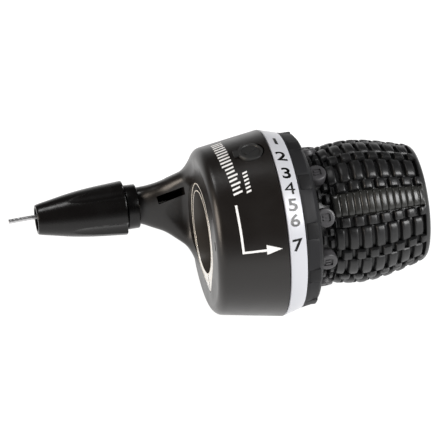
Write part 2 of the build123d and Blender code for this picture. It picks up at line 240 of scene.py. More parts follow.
def apply_modifiers(thing: bpy.types.Object) -> None:
    """Turn the object's modifiers into its mesh."""
    depsgraph = bpy.context.evaluated_depsgraph_get()
    done = bpy.data.meshes.new_from_object(thing.evaluated_get(depsgraph))
    old = thing.data
    thing.modifiers.clear()
    thing.data = done
    bpy.data.meshes.remove(old)


def volume(thing: bpy.types.Object) -> float:
    """The volume inside a closed mesh."""
    import bmesh

    work = bmesh.new()
    work.from_mesh(thing.data)
    inside = work.calc_volume()
    work.free()
    return inside


def cut_away(thing: bpy.types.Object, cutters: list[bpy.types.Object]) -> None:
    """Cut closed shapes out of an object, one after another, and delete them.

    Args:
        thing: the object.
        cutters: the shapes. One that adds to the volume was cut wrongly, and is tried again a hair aside.
    """
    for cutter in cutters:
        whole, size = thing.data.copy(), volume(thing)
        for attempt in range(4):
            cutter.location.x = attempt * 0.003 * MM
            cut = thing.modifiers.new("cut", "BOOLEAN")
            cut.operation = "DIFFERENCE"
            cut.solver = "EXACT"
            cut.object = cutter
            apply_modifiers(thing)
            if volume(thing) <= size:
                break
            LOG.warning("%s: cut of %s added volume, attempt %d", thing.name, cutter.name, attempt + 1)
            thing.data = whole.copy()
        bpy.data.meshes.remove(whole)
        bpy.data.objects.remove(cutter)


def dress(thing: bpy.types.Object, material: bpy.types.Material) -> bpy.types.Object:
    """Give an object one material in all its slots."""
    if not thing.data.materials:
        thing.data.materials.append(material)
    for slot in thing.material_slots:
        slot.material = material
    return thing


def beveled_copy(node: str, name: str, width: float, segments: int = 2) -> bpy.types.Object:
    """A copy of a CAD node with its sharp edges broken.

    Args:
        node: the CAD node.
        name: the copy's name.
        width: the bevel's width in millimetres.
        segments: the bevel's steps.

    Returns:
        The copy, merged, bevelled and shaded smooth between its edges.
    """
    source = bpy.data.objects[node]
    thing = bpy.data.objects.new(name, source.data.copy())
    bpy.context.scene.collection.objects.link(thing)
    thing.data.materials.clear()
    merge_and_orient(thing, 0.0005)
    bevel = thing.modifiers.new("bevel", "BEVEL")
    bevel.width = width * MM
    bevel.segments = segments
    bevel.limit_method = "ANGLE"
    bevel.angle_limit = math.radians(38)
    bevel.harden_normals = False
    apply_modifiers(thing)
    sharpen(thing, 40)
    return thing


def surface_nets(field: Array, axes: tuple[Array, Array, Array]) -> tuple[Array, Array]:
    """The zero surface of a distance field on a grid.

    Each cell that the surface crosses gets one point, the mean of where its edges cross zero, and each
    grid edge that crosses gets one quad between the four cells round it.

    Args:
        field: distances, negative inside.
        axes: the grid's places along x, y and z.

    Returns:
        The points and the quads.
    """
    inside = field < 0
    shape = np.array(field.shape) - 1
    total = np.zeros((*shape, 3))
    count = np.zeros(shape)
    corner = [slice(0, n) for n in shape]
    far = [slice(1, n + 1) for n in shape]
    origin = np.stack(np.meshgrid(*[np.arange(n, dtype=float) for n in shape], indexing="ij"), axis=-1)
    for axis in range(3):
        others = [a for a in range(3) if a != axis]
        for shift in range(4):
            start = [corner[0], corner[1], corner[2]]
            offset = np.zeros(3)
            for bit, other in enumerate(others):
                if shift >> bit & 1:
                    start[other] = far[other]
                    offset[other] = 1.0
            stop = list(start)
            stop[axis] = far[axis]
            a, b = field[tuple(start)], field[tuple(stop)]
            crossed = inside[tuple(start)] != inside[tuple(stop)]
            with np.errstate(divide="ignore", invalid="ignore"):
                share = np.where(crossed, a / (a - b), 0.0)
            place = np.zeros((*shape, 3)) + offset
            place[..., axis] = share
            total += np.where(crossed[..., None], place, 0.0)
            count += crossed
    used = count > 0
    index = np.full(shape, -1)
    index[used] = np.arange(int(used.sum()))
    local = (total[used] / count[used][:, None]) + origin[used]
    steps = np.array([axes[a][1] - axes[a][0] for a in range(3)])
    starts = np.array([axes[a][0] for a in range(3)])
    points = starts + local * steps
    quads = []
    for axis in range(3):
        u, v = [a for a in range(3) if a != axis]
        lower = [slice(1, n) for n in shape]
        lower[axis] = slice(0, shape[axis])
        upper = list(lower)
        upper[axis] = slice(1, shape[axis] + 1)
        a, b = inside[tuple(lower)], inside[tuple(upper)]
        place = np.argwhere(a != b)
        if not len(place):
            continue
        flip = a[tuple(place.T)]
        place[:, u] += 1
        place[:, v] += 1
        ring = []
        for du, dv in ((0, 0), (1, 0), (1, 1), (0, 1)):
            cell = place.copy()
            cell[:, u] -= du
            cell[:, v] -= dv
            ring.append(index[tuple(cell.T)])
        quad = np.stack(ring, axis=-1)
        if axis == 1:
            flip = ~flip
        quad[flip] = quad[flip][:, ::-1]
        quads.append(quad)
    return points, np.concatenate(quads)


def smooth_through(x: Array, places: Array, values: Array) -> Array:
    """Read a smooth curve that passes through given values.

    Args:
        x: where to read it.
        places: where the values are given, rising.
        values: the values there.

    Returns:
        Cubic pieces whose slopes at the given places match on both sides; held level beyond the ends.
    """
    slopes = np.gradient(values, places)
    index = np.clip(np.searchsorted(places, x) - 1, 0, len(places) - 2)
    width = places[index + 1] - places[index]
    t = np.clip((x - places[index]) / width, 0.0, 1.0)
    start = (2 * t**3 - 3 * t**2 + 1) * values[index] + (t**3 - 2 * t**2 + t) * width * slopes[index]
    end = (3 * t**2 - 2 * t**3) * values[index + 1] + (t**3 - t**2) * width * slopes[index + 1]
    return start + end


def radial_points(points: Array, gear: float, x: float) -> Array:
    """Turn points given as along the handlebar, up the dial side and outwards into the frame's place.

    Args:
        points: the points, their last axis u (along X), v (against the gear angle) and w (from the axis).
        gear: the gear angle of their middle.
        x: the place of their middle along the handlebar.

    Returns:
        The points in the frame.
    """
    turn = math.radians(DIAL_SIDE + gear)
    out = np.array([0.0, math.cos(turn), math.sin(turn)])
    up = np.array([0.0, math.sin(turn), -math.cos(turn)])
    return np.array([x, 0, 0]) + points[..., :1] * np.array([1.0, 0, 0]) + points[..., 1:2] * up + points[..., 2:] * out


def wrapped(points: Array, gear: float, x: float, radius_at) -> Array:
    """Bend flat drawing points round the handlebar: u along it, v up the dial side, w above the surface."""
    place = x + points[..., 0]
    radius = radius_at(place)
    angle = DIAL_SIDE + gear - np.degrees(points[..., 1] / radius)
    return around(place, angle, radius + points[..., 2])


# -------------------------------------------------------------------------------------------- finishes
class Recipe:
    """One node material, put together node by node round a Principled shader."""

    def __init__(self, name: str) -> None:
        self.material = bpy.data.materials.new(name)
        self.material.use_nodes = True
        self.tree = self.material.node_tree
        self.tree.nodes.clear()
        self.shader = self.tree.nodes.new("ShaderNodeBsdfPrincipled")
        output = self.tree.nodes.new("ShaderNodeOutputMaterial")
        self.tree.links.new(self.shader.outputs["BSDF"], output.inputs["Surface"])
        self.place = self.tree.nodes.new("ShaderNodeTexCoord").outputs["Object"]

    def noise(self, size_mm: float, detail: float = 2.0) -> bpy.types.NodeSocket:
        """Noise on Object coordinates.

        Args:
            size_mm: the size of its patches.
            detail: how many finer layers it has.

        Returns:
            The socket that gives 0 to 1.
        """
        node = self.tree.nodes.new("ShaderNodeTexNoise")
        node.inputs["Scale"].default_value = 1.0 / (size_mm * MM)
        node.inputs["Detail"].default_value = detail
        self.tree.links.new(self.place, node.inputs["Vector"])
        return node.outputs["Fac"]

    def spread(self, value: bpy.types.NodeSocket, low: float, high: float, target: str) -> None:
        """Feed a noise, stretched from its usual 0.3 to 0.7 onto a range, into one of the shader's inputs."""
        node = self.tree.nodes.new("ShaderNodeMapRange")
        node.inputs["From Min"].default_value = 0.3
        node.inputs["From Max"].default_value = 0.7
        node.inputs["To Min"].default_value = low
        node.inputs["To Max"].default_value = high
        self.tree.links.new(value, node.inputs["Value"])
        self.tree.links.new(node.outputs["Result"], self.shader.inputs[target])

    def relief(self, height: bpy.types.NodeSocket, depth_mm: float) -> None:
        """Let a noise stand out of the surface by a depth."""
        node = self.tree.nodes.new("ShaderNodeBump")
        node.inputs["Strength"].default_value = 1.0
        node.inputs["Distance"].default_value = depth_mm * MM
        self.tree.links.new(height, node.inputs["Height"])
        self.tree.links.new(node.outputs["Normal"], self.shader.inputs["Normal"])


@dataclass(frozen=True)
class Finish:
    """How a surface looks.

    Attributes:
        slot: the record's material slot, or the ink's name.
        colour: linear colour.
        roughness: its mean roughness.
        uneven: how far patches differ from that roughness.
        grain_mm: the size of the moulded or brushed texture.
        relief_mm: the depth of that texture.
        metallic: 1 for a bare metal.
        specular: the strength of its reflection, 0.5 for plain plastic.
    """

    slot: str
    colour: tuple[float, float, float]
    roughness: float
    uneven: float = 0.05
    grain_mm: float = 0.5
    relief_mm: float = 0.0
    metallic: float = 0.0
    specular: float = 0.5

    def material(self) -> bpy.types.Material:
        """The finish as a material, made once."""
        made = bpy.data.materials.get(self.slot + "_finish")
        if made:
            return made
        recipe = Recipe(self.slot + "_finish")
        shader = recipe.shader
        shader.inputs["Base Color"].default_value = (*self.colour, 1.0)
        shader.inputs["Metallic"].default_value = self.metallic
        shader.inputs["Specular IOR Level"].default_value = self.specular
        shader.inputs["Roughness"].default_value = self.roughness
        if self.uneven:
            recipe.spread(recipe.noise(6.0, 3.0), self.roughness - self.uneven, self.roughness + self.uneven, "Roughness")
        if self.relief_mm:
            recipe.relief(recipe.noise(self.grain_mm, 3.0), self.relief_mm)
        return recipe.material


HOUSING_PLASTIC = Finish("housing_plastic", (0.0088, 0.0072, 0.0064), 0.31, 0.04, 0.45, 0.016)
DRUM_PLASTIC = Finish("drum_plastic", (0.016, 0.016, 0.0175), 0.55, 0.04, 0.5, 0.006, specular=0.2)
RING_PLASTIC = Finish("ring_plastic", (0.58, 0.585, 0.62), 0.28, 0.0)
GRIP_RUBBER = Finish("grip_rubber", (0.009, 0.009, 0.0095), 0.40, 0.06, 0.6, 0.008)
# the worn, glossier row of the grip: its lower roughness is real, its lighter colour is a painted highlight standing in
# for the key light's reflection on that row
WORN_GLOSSY_RUBBER_PAINTED_HIGHLIGHT = Finish("grip_rubber_worn_painted_highlight", (0.024, 0.024, 0.022), 0.30, 0.06, 0.6, 0.008)
STUD_RUBBER = Finish("stud_rubber", (0.055, 0.053, 0.056), 0.42, 0.04, 0.6, 0.006)
KEY_RUBBER = Finish("key_rubber", (0.013, 0.013, 0.014), 0.55, 0.04, 0.5, 0.006, specular=0.2)
KNOB_PLASTIC = Finish("knob_plastic", (0.004, 0.0035, 0.0035), 0.26, 0.05, 1.2, 0.006, specular=0.35)
PLUG_RUBBER = Finish("plug_rubber", (0.018, 0.018, 0.018), 0.5, 0.05, 0.6, 0.01)
CLAMP_ALLOY = Finish("clamp_alloy", (0.86, 0.83, 0.78), 0.18, 0.05, 0.3, 0.002, 1.0)
# painted highlight: a pale, non-metal colour for thin rings on the clamp's chamfered edges, standing in for the light
# those edges catch
CLAMP_EDGE_PAINTED_HIGHLIGHT = Finish("clamp_edge_painted_highlight", (0.75, 0.72, 0.66), 0.4, 0.0)
# a darker colour for the clamp's bore, behind its bare face
CLAMP_BORE_DARK = Finish("clamp_bore_dark", (0.06, 0.055, 0.05), 0.34, 0.06, 1.5, 0.01)
STEEL = Finish("steel", (0.6, 0.6, 0.61), 0.35, 0.05, 0.3, 0.002, 1.0)
SPRING_STEEL = Finish("spring_steel", (0.45, 0.45, 0.47), 0.35, 0.05, metallic=1.0)
SEAT_BRASS = Finish("seat_brass", (0.45, 0.36, 0.2), 0.35, 0.05, metallic=1.0)
GUIDE_PLASTIC = Finish("guide_plastic", (0.8, 0.8, 0.78), 0.4)
WHITE_INK = Finish("white_ink", (0.85, 0.85, 0.85), 0.45, 0.0)
BLACK_INK = Finish("black_ink", (0.008, 0.008, 0.008), 0.24, 0.0, specular=0.35)


# --------------------------------------------------------------------------------------------- housing
@dataclass
class HousingShell:
    """The tapered shell with the cable arm growing out of its face, one smooth skin cut open where it is."""

    mouth_x: float = 18.4
    mouth_radius: float = 25.48
    front_x: float = 2.0
    front_radius: float = 22.8
    shoulder: float = 2.3
    wall: float = 2.0
    scoop_radius: float = 14.3
    scoop_edge: float = 5.2
    join: float = 2.6
    neck_end: float = -14.1
    lug_turn: float = 90.0
    cell: float = 0.42
    # the arm's round sections: x, share of the way to the handlebar's axis, radius
    arm: Array = field(
        default_factory=lambda: np.array(
            [
                (-16.0, 0.0, 5.05),
                (-14.1, 0.0, 5.07),
                (-10.3, 0.1, 6.3),
                (-7.2, 0.18, 7.7),
                (-4.2, 0.30, 9.9),
                (0.0, 0.50, 13.1),
                (7.0, 0.62, 15.6),
            ]
        )
    )

    def cone_radius(self, x: Array) -> Array:
        """The shell's outer radius at a place along the handlebar."""
        slope = (self.mouth_radius - self.front_radius) / (self.mouth_x - self.front_x)
        return self.front_radius + slope * (x - self.front_x)

    def distance(self, points: Array) -> Array:
        """How far points are outside the skin, negative inside."""
        x, y, z = points[..., 0], points[..., 1], points[..., 2]
        radius = np.hypot(y, z)
        body = round_overlap(-x, (radius - self.cone_radius(x)) * 0.987, self.shoulder)
        share = smooth_through(x, self.arm[:, 0], self.arm[:, 1])
        size = smooth_through(x, self.arm[:, 0], self.arm[:, 2])
        reach = np.hypot(y - ARM[1] * (1 - share), z - ARM[2] * (1 - share))
        arm = np.maximum((reach - size) * 0.86, x - 5.0)
        arm = round_overlap(arm, self.scoop_radius - radius, self.scoop_edge)
        return round_union(body, arm, self.join)

    def skin(self) -> bpy.types.Object:
        """The closed outer skin, longer than the shell at both of its ends."""
        spans = ((-15.6, 20.4), (-27.0, 27.0), (-27.0, 27.0))
        axes = tuple(np.arange(low, high, self.cell) for low, high in spans)
        grid = np.stack(np.meshgrid(*axes, indexing="ij"), axis=-1)
        values = self.distance(grid)
        # the ends are closed flat, outside the two places where they're cut
        values = np.maximum(values, np.maximum(grid[..., 0] - 20.0, -15.2 - grid[..., 0]))
        points, quads = surface_nets(values, axes)
        inner = (points[:, 0] > -14.7) & (points[:, 0] < 19.5)
        step = 0.01
        for _ in range(2):
            here = self.distance(points)
            slopes = [(self.distance(points + step * np.eye(3)[axis]) - here) / step for axis in range(3)]
            slope = np.stack(slopes, axis=-1)
            move = here[:, None] * slope / np.maximum((slope**2).sum(-1, keepdims=True), 0.2)
            points = points - np.where(inner[:, None], np.clip(move, -0.2, 0.2), 0.0)
        return add_object("housing", points, quads)

    def cutters(self) -> list[bpy.types.Object]:
        """What is cut out of the skin, each a closed shape."""
        inside = [
            (self.wall, 15.2),
            (self.wall, self.cone_radius(self.wall) - self.wall),
            (self.mouth_x, self.mouth_radius - self.wall),
            (self.mouth_x, 30.0),
            (24.0, 30.0),
            (24.0, 0.0),
            (9.5, 0.0),
            (9.5, 15.2),
        ]
        across = np.array([0.0, ARM[1], ARM[2]])
        found = [
            lathe("inside", np.array(inside), 240),
            box_cutter("neck_end", (-22.0, self.neck_end), (-40.0, 40.0), (-40.0, 40.0), 0.0),
            lathe("clamp_room", np.array([(-4.0, 0.0), (-4.0, 13.65), (11.0, 13.65), (11.0, 0.0)]), 200),
            teardrop_cutter("lug_face", -4.0, self.wall + 0.2, 13.65, 13.8, 2.55, self.lug_turn),
            box_cutter("lug_room", (self.wall, 9.6), (-8.6, 8.6), (5.0, 20.0), self.lug_turn),
            lathe("cable_bore", np.array([(-16.0, 0.0), (-16.0, 2.5), (4.0, 2.5), (4.0, 0.0)]), 48, across),
            box_cutter("arm_slot", (-9.2, -1.8), (10.0, 12.2), (-16.5, -3.0), 0.0, tilt=13.0),
        ]
        found += [radial_rod("port", PORT_GEAR, PORT_X, 17.0, 30.0, 3.2)]
        found += [radial_rod("port_seat", PORT_GEAR, PORT_X, 24.0, 30.0, 3.75)]
        found += [bolt_way("bolt_access", 5.7, 16.4, self.lug_turn, 3.75)]
        for gear, reach, length, width in FACE_SLITS:
            found.append(face_slit(gear, reach, length, width))
        return found

    def build(self) -> bpy.types.Object:
        """The finished shell with the adjuster's spigot."""
        shell = self.skin()
        cut_away(shell, self.cutters())
        spigot = [(-28.6, 2.5), (-28.6, 3.5), (-28.1, 3.5), (-28.1, 3.1), (-27.4, 3.1), (-27.4, 3.5)]
        spigot += [(-13.2, 3.5), (-13.2, 2.5)]
        tube = lathe("spigot", np.array(spigot), 64, np.array([0.0, ARM[1], ARM[2]]))
        join_into(shell, [tube])
        sharpen(shell, 38)
        return shell


PORT_GEAR = 87.6 - DIAL_SIDE
PORT_X = 13.5
# small openings in the face round the clamp: gear angle, distance from the axis, length and width
FACE_SLITS = ((-131.0, 20.6, 3.4, 0.8), (-168.0, 18.6, 4.6, 1.9), (161.0, 20.4, 3.4, 0.8), (13.0, 18.8, 2.6, 0.9))


def box_cutter(
    name: str,
    along: tuple[float, float],
    up: tuple[float, float],
    out: tuple[float, float],
    gear: float,
    tilt: float = 0.0,
) -> bpy.types.Object:
    """A closed box in the directions of a gear angle.

    Args:
        name: the object's name.
        along: its two ends along the handlebar.
        up: its two sides, measured against the gear angle.
        out: its two distances from the axis.
        gear: the gear angle of its middle.
        tilt: degrees it is turned about the outward direction.

    Returns:
        The box.
    """
    corners = np.array([(u, v, w) for u in along for v in up for w in out], dtype=float)
    if tilt:
        middle = np.array([sum(along) / 2, sum(up) / 2])
        turn = math.radians(tilt)
        flat = corners[:, :2] - middle
        turned = np.array([[math.cos(turn), math.sin(turn)], [-math.sin(turn), math.cos(turn)]])
        corners[:, :2] = flat @ turned + middle
    faces = [(0, 1, 3, 2), (4, 6, 7, 5), (0, 4, 5, 1), (2, 3, 7, 6), (0, 2, 6, 4), (1, 5, 7, 3)]
    box = add_object(name, radial_points(corners, gear, 0.0), faces, smooth=False)
    merge_and_orient(box)
    return box


def prism_x(name: str, outline: Array, low: float, high: float, gear: float) -> bpy.types.Object:
    """A closed prism along X whose outline is given as up (v) and out (w) in a gear angle's directions."""
    count = len(outline)
    ends = [np.column_stack([np.full(count, x), outline]) for x in (low, high)]
    points = radial_points(np.concatenate(ends), gear, 0.0)
    faces = [tuple(range(count)), tuple(range(2 * count - 1, count - 1, -1))]
    faces += [(i, (i + 1) % count, (i + 1) % count + count, i + count) for i in range(count)]
    prism = add_object(name, points, faces, smooth=False)
    merge_and_orient(prism)
    return prism


def prism_out(name: str, outline: Array, low: float, high: float, gear: float, x: float) -> bpy.types.Object:
    """A closed prism that points away from the axis, whose outline is given as along (u) and up (v)."""
    count = len(outline)
    ends = [np.column_stack([outline, np.full(count, w)]) for w in (low, high)]
    faces = [tuple(range(count)), tuple(range(2 * count - 1, count - 1, -1))]
    faces += [(i, (i + 1) % count, (i + 1) % count + count, i + count) for i in range(count)]
    prism = add_object(name, radial_points(np.concatenate(ends), gear, x), faces, smooth=False)
    merge_and_orient(prism)
    return prism


def teardrop_cutter(
    name: str, low: float, high: float, ring: float, nose_at: float, nose: float, gear: float
) -> bpy.types.Object:
    """A prism with the clamp's outline: the ring, the nose and their common tangents."""
    lean = math.asin((ring - nose) / nose_at)
    start = math.pi / 2 - lean
    nose_arc = np.linspace(start, -start, 17)
    outline = [(nose * math.sin(a), nose_at + nose * math.cos(a)) for a in nose_arc]
    # behind the tangents it runs through the open clamp room, clear of the wall that is cut already
    sides = ((-start, ring), (-start, 0.6 * ring), (start, 0.6 * ring), (start, ring))
    outline += [(reach * math.sin(a), reach * math.cos(a)) for a, reach in sides]
    return prism_x(name, np.array(outline), low, high, gear)


def radial_rod(name: str, gear: float, x: float, low: float, high: float, radius: float, sides: int = 64):
    """A closed rod that points away from the handlebar's axis."""
    turn = np.arange(sides) * 2 * math.pi / sides
    ring = np.column_stack([radius * np.cos(turn), radius * np.sin(turn)])
    points = np.concatenate([np.column_stack([ring, np.full(sides, w)]) for w in (low, high)])
    faces = [tuple(range(sides)), tuple(range(2 * sides - 1, sides - 1, -1))]
    faces += [(i, (i + 1) % sides, (i + 1) % sides + sides, i + sides) for i in range(sides)]
    rod = add_object(name, radial_points(points, gear, x), faces, smooth=False)
    merge_and_orient(rod)
    return rod


def bolt_way(name: str, x: float, reach: float, gear: float, radius: float) -> bpy.types.Object:
    """The round way in for a key, square to the clamp's lug, out through the shell's lower front."""
    turn = np.arange(48) * 2 * math.pi / 48
    ends = []
    for up in (6.0, 40.0):
        ends.append(
            np.column_stack([radius * np.cos(turn), np.full(48, up), reach + radius * np.sin(turn)])
        )
    faces = [tuple(range(48)), tuple(range(95, 47, -1))]
    faces += [(i, (i + 1) % 48, (i + 1) % 48 + 48, i + 48) for i in range(48)]
    points = np.concatenate(ends) * np.array([1.0, BOLT_SIDE, 1.0])
    rod = add_object(name, radial_points(points, gear, x), faces, smooth=False)
    merge_and_orient(rod)
    return rod


BOLT_SIDE = -1.0


def face_slit(gear: float, reach: float, length: float, width: float) -> bpy.types.Object:
    """A shallow round-ended slit in the face, its long side along the circle round the clamp."""
    half = max(length - width, 0.1) / 2
    arc = np.linspace(0, math.pi, 9)
    outline = [(half + width / 2 * math.sin(a), reach + width / 2 * math.cos(a)) for a in arc]
    outline += [(-half - width / 2 * math.sin(a), reach - width / 2 * math.cos(a)) for a in arc]
    low = -6.0 if abs(gear) > 90 else -2.0
    return prism_x("slit", np.array(outline), low, 1.0, gear)


def join_into(thing: bpy.types.Object, others: list[bpy.types.Object]) -> None:
    """Add other objects' meshes to an object's mesh."""
    bpy.ops.object.select_all(action="DESELECT")
    for other in [thing, *others]:
        other.select_set(True)
    bpy.context.view_layer.objects.active = thing
    bpy.ops.object.join()
    thing.select_set(False)


@dataclass
class Print:
    """White ink on the shell: the pointer at the dial and a plain graphic of slanted bars."""

    shell: HousingShell
    height: float = 0.03
    line: float = 0.62
    points: list = field(default_factory=list)
    faces: list = field(default_factory=list)

    def patch(self, corners: list[tuple[float, float]], rows: int = 6, cols: int = 3) -> None:
        """Lay a four-cornered patch on the cone, closed on all sides.

        Args:
            corners: x and gear angle of its corners, in order round it.
            rows: its steps from the first and second corner to the fourth and third.
            cols: its steps from the first corner to the second.
        """
        a, b, c, d = (np.array(corner) for corner in corners)
        s = np.linspace(0, 1, rows + 1)[:, None, None]
        t = np.linspace(0, 1, cols + 1)[None, :, None]
        flat = (a * (1 - t) + b * t) * (1 - s) + (d * (1 - t) + c * t) * s
        x, gear = flat[..., 0], flat[..., 1]
        layers = []
        for lift in (self.height, -0.06):
            layers.append(around(x, DIAL_SIDE + gear, self.shell.cone_radius(x) + lift))
        start = sum(len(p) for p in self.points)
        self.points += [layer.reshape(-1, 3) for layer in layers]
        size = (rows + 1) * (cols + 1)
        top = grid_faces(rows + 1, cols + 1, False, False)
        rim = [(0, j) for j in range(cols)] + [(i, cols) for i in range(rows)]
        rim += [(rows, cols - j) for j in range(cols)] + [(rows - i, 0) for i in range(rows)]
        ring = [i * (cols + 1) + j for i, j in rim]
        sides = [(p, q, q + size, p + size) for p, q in zip(ring, ring[1:] + ring[:1])]
        self.faces += (top + start).tolist() + (top[:, ::-1] + size + start).tolist()
        self.faces += [tuple(i + start for i in side) for side in sides]

    def pointer(self) -> None:
        """The bent line that ends in an arrow head at the dial."""
        half_x, half_gear = self.line / 2, math.degrees(self.line / 2 / 23.9)
        self.patch([(5.95, -14.3), (5.95 + self.line, -14.3), (6.6 + half_x, 17.4), (6.6 - half_x, 17.4)], 24, 2)
        shaft = 17.1
        ends = [(6.3, shaft - half_gear), (12.9, shaft - half_gear - 0.4)]
        ends += [(12.9, shaft + half_gear - 0.4), (6.3, shaft + half_gear)]
        self.patch(ends, 2, 8)
        self.patch([(12.7, 13.3), (16.75, 16.35), (16.8, 16.45), (12.7, 19.6)], 6, 6)

    def graphic(self) -> None:
        """Stand-in for the printed name: a row of thin slanted bars, and a short row of small ones."""
        lean = 1.5
        gear = -20.8
        for width, low, high in GRAPHIC_BARS:
            self.patch([(low, gear), (high, gear - lean), (high, gear - lean - width), (low, gear - width)], 2, 5)
            gear -= width + 1.75
        for step in range(6):
            start = -20.8 - 2.75 * step
            self.patch([(9.7, start), (11.0, start - 0.9), (11.0, start - 2.2), (9.7, start - 1.3)], 2, 4)

    def build(self) -> bpy.types.Object:
        """The ink as one object."""
        self.pointer()
        self.graphic()
        ink = add_object("white_print", np.concatenate(self.points), self.faces, smooth=False)
        merge_and_orient(ink, 0.0005)
        return ink


# each bar's width in degrees and its two ends along the handlebar
GRAPHIC_BARS = (
    (1.5, 6.2, 8.7),
    (1.5, 6.2, 8.3),
    (1.5, 6.1, 8.7),
    (1.5, 5.9, 8.1),
    (1.5, 5.8, 8.5),
    (1.5, 5.7, 8.0),
    (1.5, 5.6, 8.0),
    (1.6, 5.0, 8.0),
    (1.6, 4.9, 7.9),
    (1.6, 4.9, 7.9),
    (1.6, 4.8, 7.8),
    (1.6, 4.8, 7.8),
    (1.7, 4.7, 7.7),
    (1.7, 4.7, 7.7),
    (1.8, 4.7, 7.6),
    (1.8, 4.7, 7.6),
    (1.9, 4.7, 7.6),
)


@dataclass
class PortPlug:
    """Rubber plug in the port for changing the cable."""

    radius: float = 3.58
    seat: float = 24.02
    top: float = 25.05

    def build(self) -> bpy.types.Object:
        """The stem, the domed cap with its two flats, and the tab that lifts it."""
        outline = [(0.0, 21.95), (3.05, 21.95), (3.05, self.seat), (self.radius, self.seat)]
        outline += [(self.radius, self.top - 0.35), (self.radius - 0.12, self.top - 0.1), (self.radius - 0.4, self.top)]
        outline += [(2.75, self.top + 0.02), (2.6, self.top - 0.22), (1.2, self.top - 0.12), (0.0, self.top - 0.1)]
        sides = 48
        turn = np.arange(sides) * 2 * math.pi / sides
        r = np.array(outline)[None, :, 0]
        # a slightly faceted rim
        facet = 1.0 - 0.022 * (1 - np.cos(6 * turn))[:, None] * (r > 3.1)
        u, v = r * facet * np.cos(turn)[:, None], r * facet * np.sin(turn)[:, None]
        w = np.broadcast_to(np.array(outline)[None, :, 1], u.shape)
        local = np.stack([u, v, w], axis=-1)
        plug = add_object(
            "port_plug_cap", radial_points(local, PORT_GEAR, PORT_X), grid_faces(sides, len(outline), True, False)
        )
        merge_and_orient(plug)
        ridge = box_cutter("ridge", (-2.0, 2.0), (-0.35, 0.35), (24.6, self.top + 0.12), PORT_GEAR, tilt=35)
        ridge.data.transform(offset_x(PORT_X))
        tab = box_cutter("tab", (-4.7, -2.9), (-1.15, 1.15), (24.35, self.top - 0.12), PORT_GEAR)
        tab.data.transform(offset_x(PORT_X))
        join_into(plug, [ridge, tab])
        sharpen(plug, 40)
        return plug


def offset_x(distance_mm: float):
    """The matrix that moves a mesh along X."""
    from mathutils import Matrix

    return Matrix.Translation(Vector((distance_mm * MM, 0, 0)))


# ------------------------------------------------------------------------------------------------ dial
@dataclass
class DialRing:
    """White ring with the numbers of the seven gears."""

    start: float = 18.7
    end: float = 23.58
    start_radius: float = 25.45
    end_radius: float = 24.05
    bore: float = 22.62
    digit_height: float = 3.4
    digit_width: float = 3.2
    digit_stretch: float = 1.3
    # gear and the angle at which its number stands
    places: tuple = ((1, -60.0), (2, -43.9), (3, -30.3), (4, -19.7), (5, -9.0), (6, 0.7), (7, 16.0))

    def radius_at(self, x: Array) -> Array:
        """The ring's outer radius at a place along the handlebar."""
        share = (x - self.start) / (self.end - self.start)
        return self.start_radius + (self.end_radius - self.start_radius) * share

    def ring(self) -> bpy.types.Object:
        """The ring with round edges."""
        corners = [(self.start, self.bore, 0), (self.end, self.bore, 0)]
        corners += [(self.end, self.end_radius, 0.22), (self.start, self.start_radius, 0.3)]
        ring = lathe("dial_ring", rounded_path(corners, 4), 256)
        sharpen(ring, 40)
        return ring

    def numbers(self) -> bpy.types.Object:
        """All seven numbers, bent round the ring."""
        digits = [self.digit(str(gear), angle) for gear, angle in self.places]
        join_into(digits[0], digits[1:])
        digits[0].name = "dial_numbers"
        return digits[0]

    def digit(self, text: str, gear: float) -> bpy.types.Object:
        """One number as a thin closed solid on the ring."""
        import bmesh

        curve = bpy.data.curves.new("digit_" + text, "FONT")
        curve.body = text
        curve.extrude = 0.01
        curve.resolution_u = 6
        # heavier strokes, apart from the 4, whose hole they would fill
        curve.offset = 0.0 if text == "4" else 0.02
        source = bpy.data.objects.new("digit_" + text, curve)
        bpy.context.scene.collection.objects.link(source)
        bpy.context.view_layer.update()
        mesh = bpy.data.meshes.new_from_object(source.evaluated_get(bpy.context.evaluated_depsgraph_get()))
        bpy.data.objects.remove(source)
        work = bmesh.new()
        work.from_mesh(mesh)
        bmesh.ops.remove_doubles(work, verts=work.verts, dist=1e-5)
        for height in np.arange(0.0, 0.8, 0.08):
            parts = list(work.verts) + list(work.edges) + list(work.faces)
            bmesh.ops.bisect_plane(work, geom=parts, dist=1e-6, plane_co=(0, height, 0), plane_no=(0, 1, 0))
        bmesh.ops.recalc_face_normals(work, faces=work.faces)
        flat = np.array([v.co for v in work.verts])
        low, high = flat.min(0), flat.max(0)
        scale = self.digit_height / (high[1] - low[1])
        wide = min(self.digit_stretch * scale, self.digit_width / (high[0] - low[0]))
        middle = (low + high) / 2
        local = np.column_stack(
            [
                (flat[:, 0] - middle[0]) * wide,
                (flat[:, 1] - middle[1]) * scale,
                np.where(flat[:, 2] > 0, 0.03, -0.05),
            ]
        )
        placed = wrapped(local, gear, 21.1, self.radius_at) * MM
        for vert, place in zip(work.verts, placed.tolist()):
            vert.co = place
        work.to_mesh(mesh)
        work.free()
        digit = bpy.data.objects.new("digit_" + text, mesh)
        bpy.context.scene.collection.objects.link(digit)
        return digit


